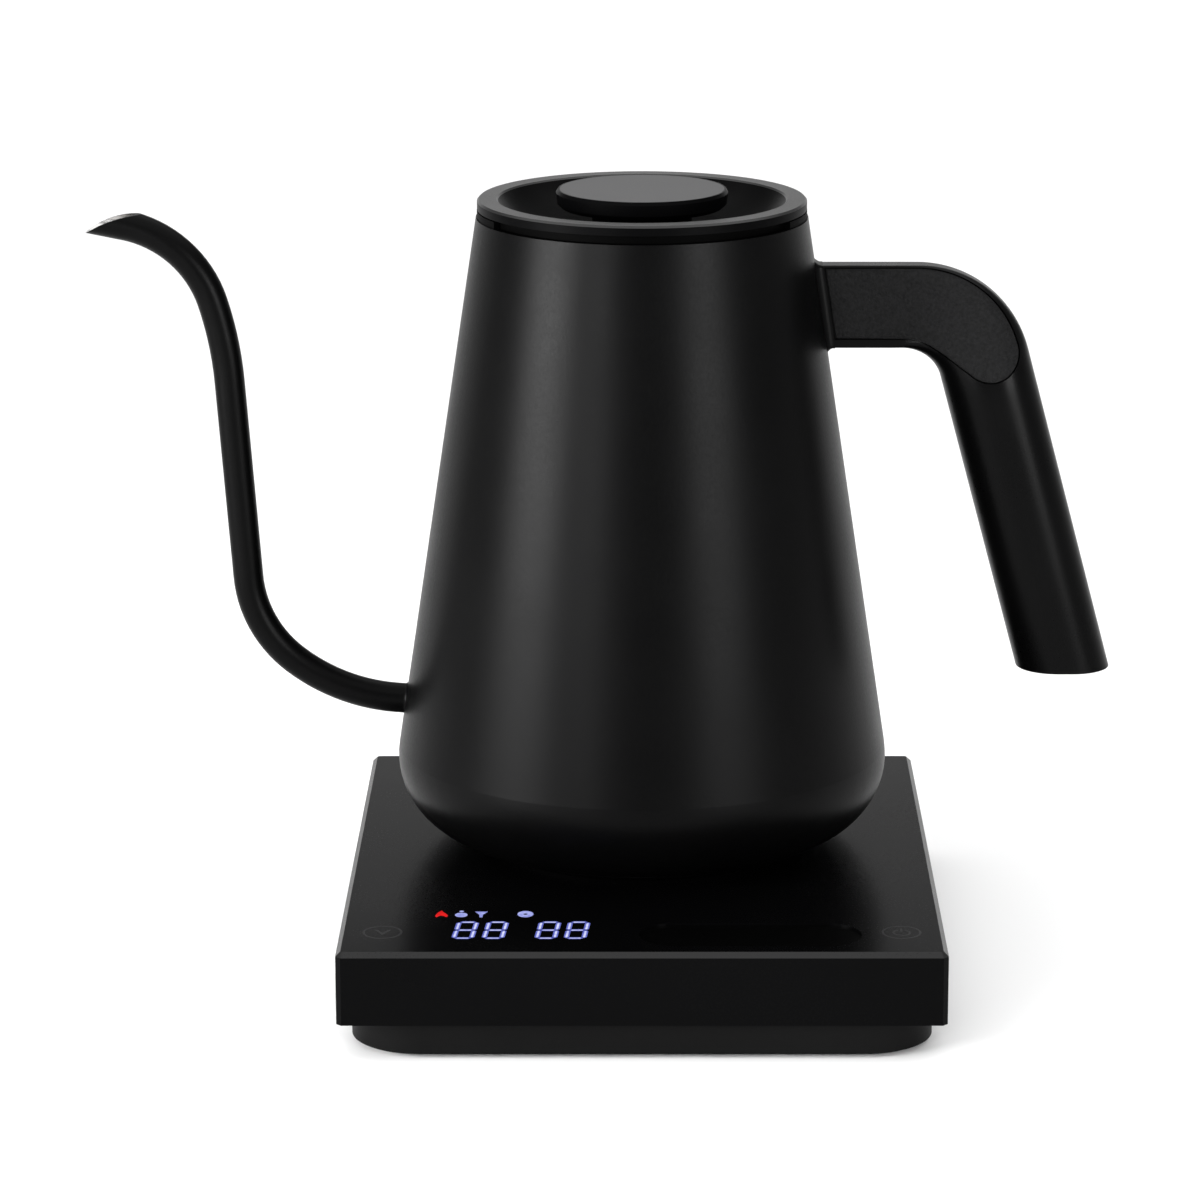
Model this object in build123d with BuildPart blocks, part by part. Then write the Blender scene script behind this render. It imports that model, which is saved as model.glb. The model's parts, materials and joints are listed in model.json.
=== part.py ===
from build123d import *

import os
from math import cos, hypot, radians, sin, tan

# Gooseneck pour-over kettle on its heated power base. Millimetres, +Z up.
# The origin is on the surface that the base stands on, on the kettle's upright axis.
# The spout points along -X, the handle along +X, and the control panel is at -Y.

# Power base
BASE_HALF = 71.5
BASE_FRONT = -96.1
BASE_BACK = 66.7
BASE_DEPTH = BASE_BACK - BASE_FRONT
BASE_MIDDLE = (BASE_BACK + BASE_FRONT) / 2
PLATE_TOP = 27.2
COVER_BOTTOM = 9.4
COVER_WALL = 2.0
COVER_EDGE = 1.2
CEILING = PLATE_TOP - COVER_WALL
TRAY_HALF = 69.0
TRAY_GAP = 3.2
TRAY_BOTTOM = 1.2
TRAY_FLOOR = 3.2
TRAY_LIP = 8.8
TRAY_CORNER = 17.0
SCREW_PLACES = [(-50, -72), (50, -72), (-50, 42), (50, 42)]
SHANK = 1.4
PILOT = 1.45
GLAND_HEIGHT = 17.0
CORD_RADIUS = 3.4

# Control panel
PANEL_BOARD = 20.6
DIGIT_WIDTH = 5.4
DIGIT_HEIGHT = 13.0
DIGIT_STROKE = 1.25
DIGIT_FOOT = -85.6
DIGIT_SLANT = 0.075
DIGIT_LEFTS = [-44.9, -37.8, -25.4, -18.5]
INLAY = 0.4
ICON_ROW = -67.2
KEY_X = 61.2
KEY_Y = -80.7
SLIDER_X = 25.55
SLIDER_Y = -82.3
SLIDER_RADIUS = 8.4
SLIDER_LENGTH = 52.5
SLIDER_DEPTH = 0.9

# Round connector, shared by the base and the kettle
SOCKET_RADIUS = 16.5
SOCKET_TOP = 36.5
RECESS_RADIUS = 17.4
SLOT_DEPTH = 8.0
SLOTS = [(4.6, 6.4), (8.4, 10.2), (12.0, 13.6)]
BLADES = [(5.2, 5.8), (9.0, 9.6), (12.5, 13.1)]
BLADE_TIP = 29.5
PLUG_CEILING = 37.0

# Kettle body: a cone with a rounded bottom corner
BODY_BOTTOM = 29.2
BODY_TOP = 184.0
CORNER = 19.0
CORNER_R = 42.0
CORNER_Z = BODY_BOTTOM + CORNER
SLOPE = 8.64
WALL = 0.8
PLATE_UNDER = 41.75
SPREADER_UNDER = 38.75

# Spout
TUBE_RADIUS = 3.725
TUBE_BORE = 3.125
SPOUT_X = -56.0
SPOUT_Z = 61.57
SPOUT_RISE = 4.05
TIP = (-136.1, 179.8)
HEEL = (-121.8, 184.5)

# Mouth and lid
MOUTH = 36.6
LID_TOP = 188.5
LID_UNDER = 186.1
LID_RADIUS = 40.26
DISH_RADIUS = 35.1
DISH_FLOOR = 181.5
KNOB_RADIUS = 21.0
KNOB_TOP = 190.8

# Handle
NECK_TOP = 172.2
NECK_BOTTOM = 151.7
NECK_HALF = 3.2
TOE_HALF = 7.7
ELBOW_OUT = 28.3
OUTER_CENTRE = (67.56, NECK_TOP - ELBOW_OUT)
ELBOW_IN = 10.0
INNER_CENTRE = (63.8, NECK_BOTTOM - ELBOW_IN)
GRIP_LEAN = 15.17
GRIP_HALF = 11.2
GRIP_DEPTH = 10.2
GRIP_END = 70.7
GRIP_WALL = 2.6
PAD_DEPTH = 1.0
PAD_PROUD = 0.15

os.makedirs("parts", exist_ok=True)


def corner_point(radius, angle):
    """A point on a circle about the centre of the body's bottom corner."""
    return (CORNER_R + radius * cos(radians(angle)), CORNER_Z + radius * sin(radians(angle)))


def wall_radius(height, inset=0.0):
    """The cone's radius at a height, or its radius `inset` inside the surface."""
    foot = corner_point(CORNER - inset, SLOPE)
    return foot[0] - (height - foot[1]) * tan(radians(SLOPE))


def body_outline(inset):
    """Draws half of the body's outline, `inset` inside its outer surface."""
    low = CORNER - inset
    Line((0, CORNER_Z - low), corner_point(low, -90))
    ThreePointArc(corner_point(low, -90), corner_point(low, -40), corner_point(low, SLOPE))
    Line(corner_point(low, SLOPE), (wall_radius(BODY_TOP, inset), BODY_TOP))


def ring(outer, inner, bottom, top, mode=Mode.ADD):
    """Adds or cuts a flat ring, or a disc where `inner` is 0, about the upright axis."""
    with BuildSketch(Plane.XY.offset(bottom)) as face:
        Circle(outer)
        if inner:
            Circle(inner, mode=Mode.SUBTRACT)
    extrude(face.sketch, amount=top - bottom, mode=mode)


def block(low, high, mode=Mode.ADD):
    """Adds or cuts a box between two corners."""
    with BuildSketch(Plane.XY.offset(low[2])) as face:
        with Locations(((low[0] + high[0]) / 2, (low[1] + high[1]) / 2)):
            Rectangle(high[0] - low[0], high[1] - low[1])
    extrude(face.sketch, amount=high[2] - low[2], mode=mode)


def rods(places, radius, bottom, top, mode=Mode.ADD):
    """Adds or cuts upright round rods at the given places."""
    with BuildSketch(Plane.XY.offset(bottom)) as face:
        with Locations(*places):
            Circle(radius)
    extrude(face.sketch, amount=top - bottom, mode=mode)


def turned(*points, mode=Mode.ADD):
    """Adds or cuts a body of revolution from (radius, height) points."""
    with BuildSketch(Plane.XZ) as face:
        with BuildLine():
            Polyline(*points, close=True)
        make_face()
    revolve(face.sketch, axis=Axis.Z, mode=mode)


def round_places(radius, angles):
    """Points on a circle about the upright axis."""
    return [(radius * cos(radians(a)), radius * sin(radians(a))) for a in angles]


def finish(builder, label):
    """Names a finished piece and writes it."""
    builder.part.label = label
    export_step(builder.part, "parts/" + label + ".step")


# Control panel artwork. Each lit mark is an inlay that fills a pocket in the cover.


def slanted(x, y, left):
    """A point of a digit, leaning right with height."""
    return (left + x + DIGIT_SLANT * y, DIGIT_FOOT + y)


def bar(start, end, left):
    """One pointed bar of a seven-bar digit, between two corners of its frame."""
    half = DIGIT_STROKE / 2
    gap = 0.12
    length = hypot(end[0] - start[0], end[1] - start[1])
    ux, uy = (end[0] - start[0]) / length, (end[1] - start[1]) / length
    outline = []
    for along, across in ((gap, 0), (half + gap, half), (length - half - gap, half),
                          (length - gap, 0), (length - half - gap, -half), (half + gap, -half)):
        outline.append(slanted(start[0] + ux * along - uy * across,
                               start[1] + uy * along + ux * across, left))
    Polygon(*outline, align=None)


def digit(left):
    """A seven-bar figure eight."""
    half = DIGIT_STROKE / 2
    xs = (half, DIGIT_WIDTH - half)
    ys = (half, DIGIT_HEIGHT / 2, DIGIT_HEIGHT - half)
    for y in ys:
        bar((xs[0], y), (xs[1], y), left)
    for x in xs:
        bar((x, ys[0]), (x, ys[1]), left)
        bar((x, ys[1]), (x, ys[2]), left)


with BuildSketch(Plane.XY.offset(PLATE_TOP)) as digit_art:
    for digit_left in DIGIT_LEFTS:
        digit(digit_left)

# A warming cup, a dripper cone and a dial, in outline
with BuildSketch(Plane.XY.offset(PLATE_TOP)) as white_art:
    with Locations((-43.1, ICON_ROW - 0.6)):
        Ellipse(1.5, 1.7)
    with Locations((-43.1, ICON_ROW + 2.1)):
        Circle(0.55)
    Polygon((-39.9, ICON_ROW + 1.9), (-36.8, ICON_ROW + 1.9), (-37.9, ICON_ROW - 0.4),
            (-38.0, ICON_ROW - 2.4), (-38.7, ICON_ROW - 2.4), (-38.8, ICON_ROW - 0.4), align=None)
    with Locations((-27.8, ICON_ROW)):
        Ellipse(1.9, 2.4)
        Circle(0.5, mode=Mode.SUBTRACT)

with BuildSketch(Plane.XY.offset(PLATE_TOP)) as flame_art:
    with BuildLine():
        Spline((-47.8, ICON_ROW + 2.7), (-46.5, ICON_ROW - 0.2), (-46.7, ICON_ROW - 2.3),
               tangents=((0.2, -1), (-1, -0.6)))
        Spline((-46.7, ICON_ROW - 2.3), (-47.8, ICON_ROW - 1.2), (-48.9, ICON_ROW - 2.3))
        Spline((-48.9, ICON_ROW - 2.3), (-49.1, ICON_ROW - 0.2), (-47.8, ICON_ROW + 2.7),
               tangents=((-1, 0.6), (0.9, 1)))
    make_face()

with BuildSketch(Plane.XY.offset(PLATE_TOP)) as key_art:
    with Locations((-KEY_X, KEY_Y), (KEY_X, KEY_Y)):
        Circle(4.7)
        Circle(4.2, mode=Mode.SUBTRACT)
    for side in (-1, 1):
        Polygon((-KEY_X, KEY_Y - 1.8), (-KEY_X + side * 2.0, KEY_Y + 1.8),
                (-KEY_X + side * 1.2, KEY_Y + 1.8), (-KEY_X, KEY_Y - 0.5), align=None)
    with Locations((KEY_X, KEY_Y - 0.3)):
        Circle(2.2)
        Circle(1.7, mode=Mode.SUBTRACT)
    with Locations((KEY_X, KEY_Y + 1.6)):
        Rectangle(1.6, 2.6, mode=Mode.SUBTRACT)
        Rectangle(0.5, 2.4)

# Power base

with BuildPart() as base_cover:
    with BuildSketch(Plane.XY.offset(COVER_BOTTOM)):
        with Locations((0, BASE_MIDDLE)):
            Rectangle(2 * BASE_HALF, BASE_DEPTH)
    extrude(amount=PLATE_TOP - COVER_BOTTOM)
    chamfer(base_cover.edges().filter_by(Axis.Z), COVER_EDGE)
    chamfer(base_cover.faces().sort_by(Axis.Z)[-1].edges(), COVER_EDGE)
    with BuildSketch(Plane.XY.offset(COVER_BOTTOM)):
        with Locations((0, BASE_MIDDLE)):
            Rectangle(2 * (BASE_HALF - COVER_WALL), BASE_DEPTH - 2 * COVER_WALL)
    extrude(amount=CEILING - COVER_BOTTOM, mode=Mode.SUBTRACT)
    rods(SCREW_PLACES, 3.6, TRAY_LIP + 0.2, CEILING)
    rods(SCREW_PLACES, PILOT, TRAY_LIP + 0.2, 18.0, mode=Mode.SUBTRACT)
    ring(SOCKET_RADIUS + 0.4, 0, CEILING, PLATE_TOP, mode=Mode.SUBTRACT)
    # Notch that straddles the cord's strain relief
    block((-5.2, BASE_BACK - COVER_WALL - 1, COVER_BOTTOM), (5.2, BASE_BACK + 1, GLAND_HEIGHT + 5.2),
          mode=Mode.SUBTRACT)
    # Pockets of the lit marks, the printed keys and the slider
    for art in (digit_art, white_art, flame_art, key_art):
        extrude(art.sketch, amount=-INLAY, mode=Mode.SUBTRACT)
    with BuildSketch(Plane.XY.offset(PLATE_TOP)):
        with Locations((SLIDER_X, SLIDER_Y)):
            SlotOverall(SLIDER_LENGTH, 2 * SLIDER_RADIUS)
    extrude(amount=-SLIDER_DEPTH, mode=Mode.SUBTRACT)
finish(base_cover, "base_cover")

for art, name in ((digit_art, "display_digits"), (white_art, "display_icons"),
                  (flame_art, "display_flame"), (key_art, "touch_key_marks")):
    with BuildPart() as inlay:
        extrude(art.sketch, amount=-INLAY)
    finish(inlay, name)

# The slider's strip, with a half disc let into its right-hand end
CAP_X = 45.2
CAP_RADIUS = 6.0
STRIP_FLOOR = PLATE_TOP - SLIDER_DEPTH
STRIP_TOP = STRIP_FLOOR + 0.4

with BuildPart() as slider_cap:
    with BuildSketch(Plane.XY.offset(STRIP_FLOOR)):
        with Locations((CAP_X, SLIDER_Y)):
            Circle(CAP_RADIUS)
        with Locations((CAP_X - CAP_RADIUS, SLIDER_Y)):
            Rectangle(2 * CAP_RADIUS, 2 * CAP_RADIUS, mode=Mode.SUBTRACT)
    extrude(amount=STRIP_TOP - STRIP_FLOOR)
finish(slider_cap, "slider_cap")

with BuildPart() as slider_strip:
    with BuildSketch(Plane.XY.offset(STRIP_FLOOR)):
        with Locations((SLIDER_X, SLIDER_Y)):
            SlotOverall(SLIDER_LENGTH, 2 * SLIDER_RADIUS)
    extrude(amount=STRIP_TOP - STRIP_FLOOR)
    add(slider_cap.part, mode=Mode.SUBTRACT)
finish(slider_strip, "slider_strip")

STRIP_HALF = 61.0
STRIP_WIDTH = 4.0
TRAY_FRONT = BASE_FRONT + TRAY_GAP
TRAY_BACK = BASE_BACK - TRAY_GAP
TRAY_DEPTH = TRAY_BACK - TRAY_FRONT
SOCKET_POSTS = round_places(20.5, (30, 150, 270))
BOARD_POSTS = [(-61, -46), (-31, -46), (-61, 31), (-31, 31)]
BLOCK_FRONT = 43.0
BLOCK_BACK = 51.0

with BuildPart() as base_tray:
    with BuildSketch(Plane.XY.offset(TRAY_BOTTOM)):
        with Locations((0, BASE_MIDDLE)):
            RectangleRounded(2 * TRAY_HALF, TRAY_DEPTH, TRAY_CORNER)
    extrude(amount=TRAY_LIP - TRAY_BOTTOM)
    # Square lip that closes the cover's open underside
    with BuildSketch(Plane.XY.offset(TRAY_LIP)):
        with Locations((0, BASE_MIDDLE)):
            RectangleRounded(2 * TRAY_HALF, BASE_DEPTH - 2 * COVER_WALL - 1.0, 2.0)
    extrude(amount=2.4)
    with BuildSketch(Plane.XY.offset(TRAY_FLOOR)):
        with Locations((0, BASE_MIDDLE)):
            RectangleRounded(2 * TRAY_HALF - 5, TRAY_DEPTH - 5, TRAY_CORNER - 2.5)
    extrude(amount=20, mode=Mode.SUBTRACT)
    rods(SCREW_PLACES, 4.4, TRAY_FLOOR, TRAY_LIP + 0.2)
    rods(SCREW_PLACES, 1.6, TRAY_BOTTOM, TRAY_LIP + 0.2, mode=Mode.SUBTRACT)
    rods(SCREW_PLACES, 3.0, TRAY_BOTTOM, 4.2, mode=Mode.SUBTRACT)
    rods(SOCKET_POSTS, 3.4, TRAY_FLOOR, 12.0)
    rods(SOCKET_POSTS, PILOT, 5.0, 12.0, mode=Mode.SUBTRACT)
    rods(BOARD_POSTS, 2.5, TRAY_FLOOR, 7.0)
    # Cradle that carries the strain relief
    block((-6.4, TRAY_BACK - 12.0, TRAY_FLOOR), (6.4, TRAY_BACK - 2.5, 11.6))
    block((-5.1, TRAY_BACK - 12.0, GLAND_HEIGHT - 5.1), (5.1, BASE_BACK, 13.0), mode=Mode.SUBTRACT)
    # Groove of the rubber foot strip
    with BuildSketch(Plane.XY.offset(TRAY_BOTTOM)):
        with Locations((0, BASE_MIDDLE)):
            RectangleRounded(2 * STRIP_HALF, TRAY_DEPTH - 15, 12)
            RectangleRounded(2 * (STRIP_HALF - STRIP_WIDTH), TRAY_DEPTH - 15 - 2 * STRIP_WIDTH, 8,
                             mode=Mode.SUBTRACT)
    extrude(amount=0.6, mode=Mode.SUBTRACT)
finish(base_tray, "base_tray")

with BuildPart() as foot_strip:
    with BuildSketch(Plane.XY):
        with Locations((0, BASE_MIDDLE)):
            RectangleRounded(2 * STRIP_HALF, TRAY_DEPTH - 15, 12)
            RectangleRounded(2 * (STRIP_HALF - STRIP_WIDTH), TRAY_DEPTH - 15 - 2 * STRIP_WIDTH, 8,
                             mode=Mode.SUBTRACT)
    extrude(amount=TRAY_BOTTOM + 0.6)
finish(foot_strip, "foot_strip")

with BuildPart() as base_screws:
    rods(SCREW_PLACES, 2.7, 1.7, 4.2)
    rods(SCREW_PLACES, SHANK, 4.2, 17.0)
    for place in SCREW_PLACES:
        with BuildSketch(Plane((place[0], place[1], 1.7))):
            Rectangle(3.2, 0.7)
            Rectangle(0.7, 3.2)
        extrude(amount=1.2, mode=Mode.SUBTRACT)
finish(base_screws, "base_screws")

with BuildPart() as control_board:
    block((-66, -92, PANEL_BOARD - 1.6), (66, -58, PANEL_BOARD))
    rods(SCREW_PLACES[:2], 4.0, PANEL_BOARD - 1.6, PANEL_BOARD, mode=Mode.SUBTRACT)
finish(control_board, "control_board")

with BuildPart() as display_module:
    block((-46.2, -88.5, PANEL_BOARD), (-10, -62.5, CEILING - 0.3))
finish(display_module, "display_module")

with BuildPart() as touch_pads:
    rods([(-KEY_X, KEY_Y), (KEY_X, KEY_Y)], 4.0, PANEL_BOARD, CEILING)
    rods([(6, SLIDER_Y), (19, SLIDER_Y), (32, SLIDER_Y), (44, SLIDER_Y)], 3.0, PANEL_BOARD, CEILING)
finish(touch_pads, "touch_pads")

with BuildPart() as buzzer:
    rods([(30, -76)], 6.0, PANEL_BOARD - 6.6, PANEL_BOARD - 1.6)
    rods([(30, -76)], 1.2, PANEL_BOARD - 6.6, PANEL_BOARD - 5.0, mode=Mode.SUBTRACT)
finish(buzzer, "buzzer")

with BuildPart() as power_board:
    block((-65, -50, 7.0), (-27, 36, 8.6))
finish(power_board, "power_board")

with BuildPart() as power_relay:
    block((-58, -42, 8.6), (-38, -26, 22.0))
finish(power_relay, "power_relay")

with BuildPart() as transformer:
    block((-59, -12, 8.6), (-35, -8, 20.0))
    block((-55, -8, 8.6), (-39, 8, 22.0))
    block((-59, 8, 8.6), (-35, 12, 20.0))
finish(transformer, "transformer")

with BuildPart() as capacitors:
    rods([(-54, 23), (-41, 23)], 5.0, 8.6, 23.0)
finish(capacitors, "capacitors")

RIBBON_X = -46.0
with BuildPart() as ribbon_cable:
    with BuildLine(Plane.YZ.offset(RIBBON_X)) as ribbon_path:
        FilletPolyline((-47, 8.6), (-47, 13.8), (-60.5, 13.8), (-60.5, 19.0), radius=2.0)
    with BuildSketch(Plane.XY.offset(8.6)):
        with Locations((RIBBON_X, -47)):
            Rectangle(12, 0.8)
    sweep(path=ribbon_path.line)
finish(ribbon_cable, "ribbon_cable")

with BuildPart() as coupler_socket:
    ring(24.0, 0, 12.0, 16.0)
    ring(SOCKET_RADIUS, 0, 16.0, SOCKET_TOP)
    chamfer(coupler_socket.faces().sort_by(Axis.Z)[-1].edges(), 0.5)
    ring(3.0, 0, SOCKET_TOP - SLOT_DEPTH, SOCKET_TOP, mode=Mode.SUBTRACT)
    for slot_inner, slot_outer in SLOTS:
        ring(slot_outer, slot_inner, SOCKET_TOP - SLOT_DEPTH, SOCKET_TOP, mode=Mode.SUBTRACT)
    # Groove of the safety shutter
    ring(15.9, 14.3, 33.0, SOCKET_TOP, mode=Mode.SUBTRACT)
    rods(SOCKET_POSTS, 1.6, 12.0, 16.0, mode=Mode.SUBTRACT)
finish(coupler_socket, "coupler_socket")

with BuildPart() as socket_contacts:
    ring(3.0, 2.75, 29.0, 33.0)
    for slot_inner, slot_outer in SLOTS:
        ring(slot_outer, slot_outer - 0.2, 29.0, 33.0)
finish(socket_contacts, "socket_contacts")

with BuildPart() as socket_screws:
    rods(SOCKET_POSTS, 2.6, 16.0, 18.0)
    rods(SOCKET_POSTS, SHANK, 6.0, 16.0)
finish(socket_screws, "socket_screws")

with BuildPart() as coupler_shutter:
    ring(15.7, 14.5, 33.2, SOCKET_TOP - 0.2)
finish(coupler_shutter, "coupler_shutter")

with BuildPart() as cord_gland:
    with BuildSketch(Plane.XZ.offset(-(BASE_BACK + 1.2))):
        with Locations((0, GLAND_HEIGHT)):
            Circle(6.2)
    extrude(amount=1.2)
    with BuildSketch(Plane.XZ.offset(-BASE_BACK)):
        with Locations((0, GLAND_HEIGHT)):
            Rectangle(10.2, 10.2)
    extrude(amount=14.0)
    with BuildSketch(Plane.XZ.offset(-(BASE_BACK + 1.2))):
        with Locations((0, GLAND_HEIGHT)):
            Circle(CORD_RADIUS)
    extrude(amount=15.2, mode=Mode.SUBTRACT)
finish(cord_gland, "cord_gland")

TERMINAL_XS = (-6, 0, 6)
with BuildPart() as terminal_block:
    block((-10, BLOCK_FRONT, TRAY_FLOOR), (10, BLOCK_BACK - 1, 10.0))
    rods([(x, 46.5) for x in TERMINAL_XS], 1.5, 8.0, 10.0, mode=Mode.SUBTRACT)
finish(terminal_block, "terminal_block")

with BuildPart() as mains_leads:
    for lead_x in TERMINAL_XS:
        with BuildLine(Plane.YZ.offset(lead_x)) as lead_path:
            FilletPolyline((BLOCK_FRONT, 6.5), (12.0, 6.5), (12.0, 12.0), radius=3.0)
        with BuildSketch(Plane(origin=lead_path.line @ 0, z_dir=lead_path.line % 0)):
            Circle(1.3)
        sweep(path=lead_path.line)
finish(mains_leads, "mains_leads")

# Kettle

with BuildPart() as body_solid:
    with BuildSketch(Plane.XZ):
        with BuildLine():
            body_outline(0)
            Line((wall_radius(BODY_TOP), BODY_TOP), (0, BODY_TOP))
            Line((0, BODY_TOP), (0, BODY_BOTTOM))
        make_face()
    revolve(axis=Axis.Z)

with BuildPart() as hollow_solid:
    with BuildSketch(Plane.XZ):
        with BuildLine():
            body_outline(WALL)
            Line((wall_radius(BODY_TOP, WALL), BODY_TOP), (0, BODY_TOP))
            Line((0, BODY_TOP), (0, BODY_BOTTOM + WALL))
        make_face()
    revolve(axis=Axis.Z)

SPOUT_AIM = Vector(-cos(radians(SPOUT_RISE)), 0, sin(radians(SPOUT_RISE)))
SPOUT_START = Vector(SPOUT_X, 0, SPOUT_Z)
OPENING_RADIUS = 38.0

with BuildPart() as kettle_shell:
    add(body_solid.part)
    add(hollow_solid.part, mode=Mode.SUBTRACT)
    ring(OPENING_RADIUS, 0, BODY_BOTTOM - 1, BODY_BOTTOM + WALL + 1, mode=Mode.SUBTRACT)
    with BuildSketch(Plane(origin=SPOUT_START, z_dir=SPOUT_AIM)):
        Circle(TUBE_BORE)
    extrude(amount=10, mode=Mode.SUBTRACT)
finish(kettle_shell, "kettle_shell")

# Bottom plate, with a skirt that follows the shell's corner and is welded to it
SKIRT_OUT = CORNER - WALL - 0.05
SKIRT_IN = SKIRT_OUT - WALL
PLATE_TOP_SIDE = PLATE_UNDER + 1.0


def arc_at(radius, height):
    """The point of the corner circle of that radius at a height."""
    return (CORNER_R + (radius**2 - (CORNER_Z - height) ** 2) ** 0.5, height)


with BuildPart() as heater_plate:
    with BuildSketch(Plane.XZ):
        with BuildLine():
            Line((0, PLATE_UNDER), arc_at(SKIRT_OUT, PLATE_UNDER))
            ThreePointArc(arc_at(SKIRT_OUT, PLATE_UNDER), arc_at(SKIRT_OUT, 45.0),
                          arc_at(SKIRT_OUT, CORNER_Z))
            Line(arc_at(SKIRT_OUT, CORNER_Z), arc_at(SKIRT_IN, CORNER_Z))
            ThreePointArc(arc_at(SKIRT_IN, CORNER_Z), arc_at(SKIRT_IN, 45.5),
                          arc_at(SKIRT_IN, PLATE_TOP_SIDE))
            Line(arc_at(SKIRT_IN, PLATE_TOP_SIDE), (0, PLATE_TOP_SIDE))
            Line((0, PLATE_TOP_SIDE), (0, PLATE_UNDER))
        make_face()
    revolve(axis=Axis.Z)
finish(heater_plate, "heater_plate")

COVER_SCREWS = round_places(27.0, (30, 150, 270))
SENSOR_PLACE = [(0, 29)]
ELEMENT_RADIUS = 36.0
ELEMENT_TUBE = 3.2
ELEMENT_Z = SPREADER_UNDER - ELEMENT_TUBE
ELEMENT_GAP = 35.0

with BuildPart() as heat_spreader:
    ring(46.0, 0, SPREADER_UNDER, PLATE_UNDER)
    rods(COVER_SCREWS, 3.2, 33.2, SPREADER_UNDER)
    rods(COVER_SCREWS, PILOT, 33.2, 38.0, mode=Mode.SUBTRACT)
    rods(SENSOR_PLACE, 2.5, SPREADER_UNDER, PLATE_UNDER, mode=Mode.SUBTRACT)
finish(heat_spreader, "heat_spreader")

with BuildPart() as temperature_sensor:
    rods(SENSOR_PLACE, 2.4, 34.5, PLATE_UNDER)
finish(temperature_sensor, "temperature_sensor")

with BuildPart() as thermal_cutout:
    rods(round_places(28.0, (205,)), 3.8, 34.75, SPREADER_UNDER)
finish(thermal_cutout, "thermal_cutout")

# Sheathed element, a ring that is open at the front, with a cold pin at each end
element_ends = round_places(ELEMENT_RADIUS, (-90 + ELEMENT_GAP, -90 - ELEMENT_GAP))
pin_aims = [Vector(-side * cos(radians(ELEMENT_GAP)), -sin(radians(ELEMENT_GAP))) for side in (1, -1)]
PIN_LENGTH = 6.0
with BuildPart() as heating_element:
    with BuildLine(Plane.XY.offset(ELEMENT_Z)) as element_path:
        CenterArc((0, 0), ELEMENT_RADIUS, -90 + ELEMENT_GAP, 360 - 2 * ELEMENT_GAP)
    with BuildSketch(Plane(origin=element_path.line @ 0, z_dir=element_path.line % 0)):
        Circle(ELEMENT_TUBE)
    sweep(path=element_path.line)
    for end, aim in zip(element_ends, pin_aims):
        with BuildSketch(Plane(origin=(end[0], end[1], ELEMENT_Z), z_dir=aim)):
            Circle(1.2)
        extrude(amount=PIN_LENGTH)
finish(heating_element, "heating_element")

LEAD_X = 9.0
with BuildPart() as element_leads:
    for side, end, aim in zip((1, -1), element_ends, pin_aims):
        start = (end[0] + PIN_LENGTH * aim.X, end[1] + PIN_LENGTH * aim.Y)
        travel = (abs(start[0]) - LEAD_X) / abs(aim.X)
        bend = (side * LEAD_X, start[1] + travel * aim.Y)
        with BuildLine(Plane.XY.offset(ELEMENT_Z)) as lead_path:
            FilletPolyline(start, bend, (side * LEAD_X, -17.8), radius=3.0)
        with BuildSketch(Plane(origin=lead_path.line @ 0, z_dir=lead_path.line % 0)):
            Circle(1.1)
        sweep(path=lead_path.line)
finish(element_leads, "element_leads")

with BuildPart() as coupler_plug:
    ring(19.2, 0, BODY_BOTTOM, PLUG_CEILING + 1.5)
    ring(22.0, RECESS_RADIUS, BODY_BOTTOM, BODY_BOTTOM + 1.8)
    ring(RECESS_RADIUS, 0, BODY_BOTTOM, PLUG_CEILING, mode=Mode.SUBTRACT)
finish(coupler_plug, "coupler_plug")

with BuildPart() as plug_contacts:
    ring(2.2, 0, BLADE_TIP, PLUG_CEILING)
    for blade_inner, blade_outer in BLADES:
        ring(blade_outer, blade_inner, BLADE_TIP, PLUG_CEILING)
finish(plug_contacts, "plug_contacts")

with BuildPart() as bottom_cover:
    ring(40.0, RECESS_RADIUS, PLATE_TOP + 0.5, BODY_BOTTOM)
    ring(39.0, 36.0, PLATE_TOP, PLATE_TOP + 0.5)
    ring(37.8, 35.9, BODY_BOTTOM, 31.6)
    rods(COVER_SCREWS, 4.0, BODY_BOTTOM, 33.2)
    rods(COVER_SCREWS, 1.6, PLATE_TOP + 0.5, 33.2, mode=Mode.SUBTRACT)
    rods(COVER_SCREWS, 2.9, PLATE_TOP + 0.5, 30.4, mode=Mode.SUBTRACT)
    ring(22.2, 0, BODY_BOTTOM, 33.2, mode=Mode.SUBTRACT)
finish(bottom_cover, "bottom_cover")

with BuildPart() as bottom_screws:
    rods(COVER_SCREWS, 2.7, 28.0, 30.4)
    rods(COVER_SCREWS, SHANK, 30.4, 37.5)
finish(bottom_screws, "bottom_screws")

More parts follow.
